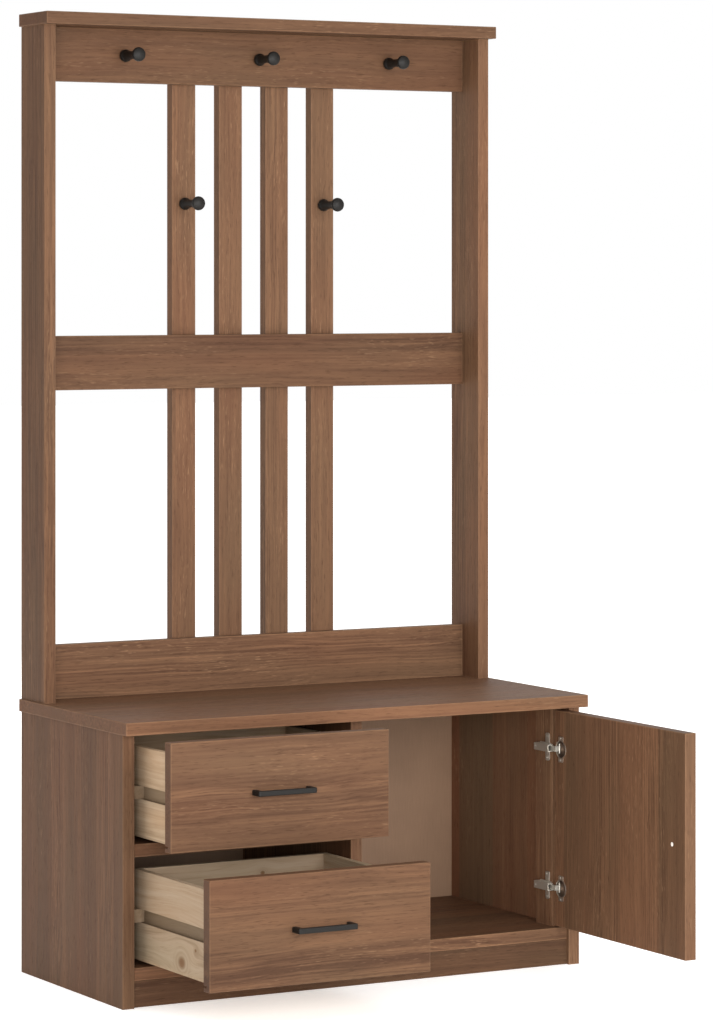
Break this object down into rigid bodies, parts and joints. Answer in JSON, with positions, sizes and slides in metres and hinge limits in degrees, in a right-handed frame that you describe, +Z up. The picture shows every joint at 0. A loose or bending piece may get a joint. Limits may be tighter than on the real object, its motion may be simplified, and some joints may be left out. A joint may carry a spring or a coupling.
{
  "type": "hall tree",
  "caption": "Wooden hall tree: bench cabinet with pull-out drawers and a hinged door under a slatted coat rack with black knobs.",
  "frame": {"origin": "on the floor, on the centre line, in the plane of the cabinet's back edges", "axes": "+X towards the object's right as seen from the front, +Y to the back, +Z up"},
  "size_m": [1, 0.8978, 1.85],
  "materials": {
    "brown_wood": "satin",
    "pale_pine": "matte",
    "back_board": "matte",
    "dowel_beech": "matte",
    "black_metal": "satin",
    "hinge_nickel": "polished",
    "screw_steel": "satin"
  },
  "bodies": {
    "carcass": {"side_left": "brown_wood", "side_right": "brown_wood", "seat_board": "brown_wood", "floor_board": "brown_wood", "plinth": "brown_wood", "rear_plinth": "brown_wood", "divider": "brown_wood", "drawer_shelf": "brown_wood", "back_panel": "back_board", "back_panel_nails": "screw_steel", "dowels": "dowel_beech", "upper_runner_left": "brown_wood", "upper_runner_right": "brown_wood", "lower_runner_left": "brown_wood", "lower_runner_right": "brown_wood", "runner_screws": "screw_steel", "upright_left": "brown_wood", "upright_right": "brown_wood", "cap_board": "brown_wood", "top_rail": "brown_wood", "middle_rail": "brown_wood", "lower_rail": "brown_wood", "slat_1": "brown_wood", "slat_2": "brown_wood", "slat_3": "brown_wood", "slat_4": "brown_wood", "slat_screws": "screw_steel", "coat_knob_1": "black_metal", "coat_knob_2": "black_metal", "coat_knob_3": "black_metal", "coat_knob_4": "black_metal", "coat_knob_5": "black_metal", "coat_knob_screws": "screw_steel", "hinge_post": "brown_wood", "hinge_plates": "hinge_nickel", "hinge_arms": "hinge_nickel", "hinge_screws": "screw_steel"},
    "upper_drawer": {"upper_drawer_front": "brown_wood", "upper_drawer_side_left": "pale_pine", "upper_drawer_side_right": "pale_pine", "upper_drawer_back": "pale_pine", "upper_drawer_bottom": "pale_pine", "upper_drawer_dowels": "dowel_beech", "upper_drawer_handle": "black_metal", "upper_drawer_handle_screws": "screw_steel"},
    "lower_drawer": {"lower_drawer_front": "brown_wood", "lower_drawer_side_left": "pale_pine", "lower_drawer_side_right": "pale_pine", "lower_drawer_back": "pale_pine", "lower_drawer_bottom": "pale_pine", "lower_drawer_dowels": "dowel_beech", "lower_drawer_handle": "black_metal", "lower_drawer_handle_screws": "screw_steel"},
    "door": {"door_panel": "brown_wood", "door_knob": "black_metal", "door_knob_screw": "screw_steel", "hinge_cups": "hinge_nickel", "hinge_cup_pins": "hinge_nickel", "hinge_cup_screws": "screw_steel"},
    "hinge_links": {"hinge_links": "hinge_nickel"}
  },
  "joints": [
    {"name": "upper_drawer_slide", "type": "slide", "parent": "carcass", "child": "upper_drawer", "axis": [0, -1, 0], "range_m": [-0.1425, 0.1575]},
    {"name": "lower_drawer_slide", "type": "slide", "parent": "carcass", "child": "lower_drawer", "axis": [0, -1, 0], "range_m": [-0.296, 0.004]},
    {"name": "door_hinge", "type": "hinge", "parent": "carcass", "child": "door", "pos_m": [0.4635, -0.4445, 0.2875], "axis": [0, 0, 1], "range_deg": [-90, 10]},
    {"name": "hinge_link_turn", "type": "hinge", "parent": "door", "child": "hinge_links", "pos_m": [0.4493, -0.4498, 0.2875], "axis": [0, 0, 1], "range_deg": [-14, 124]}
  ],
  "couplings": [
    {"joint": "hinge_link_turn", "follows": "door_hinge", "ratio": -1.3667}
  ]
}
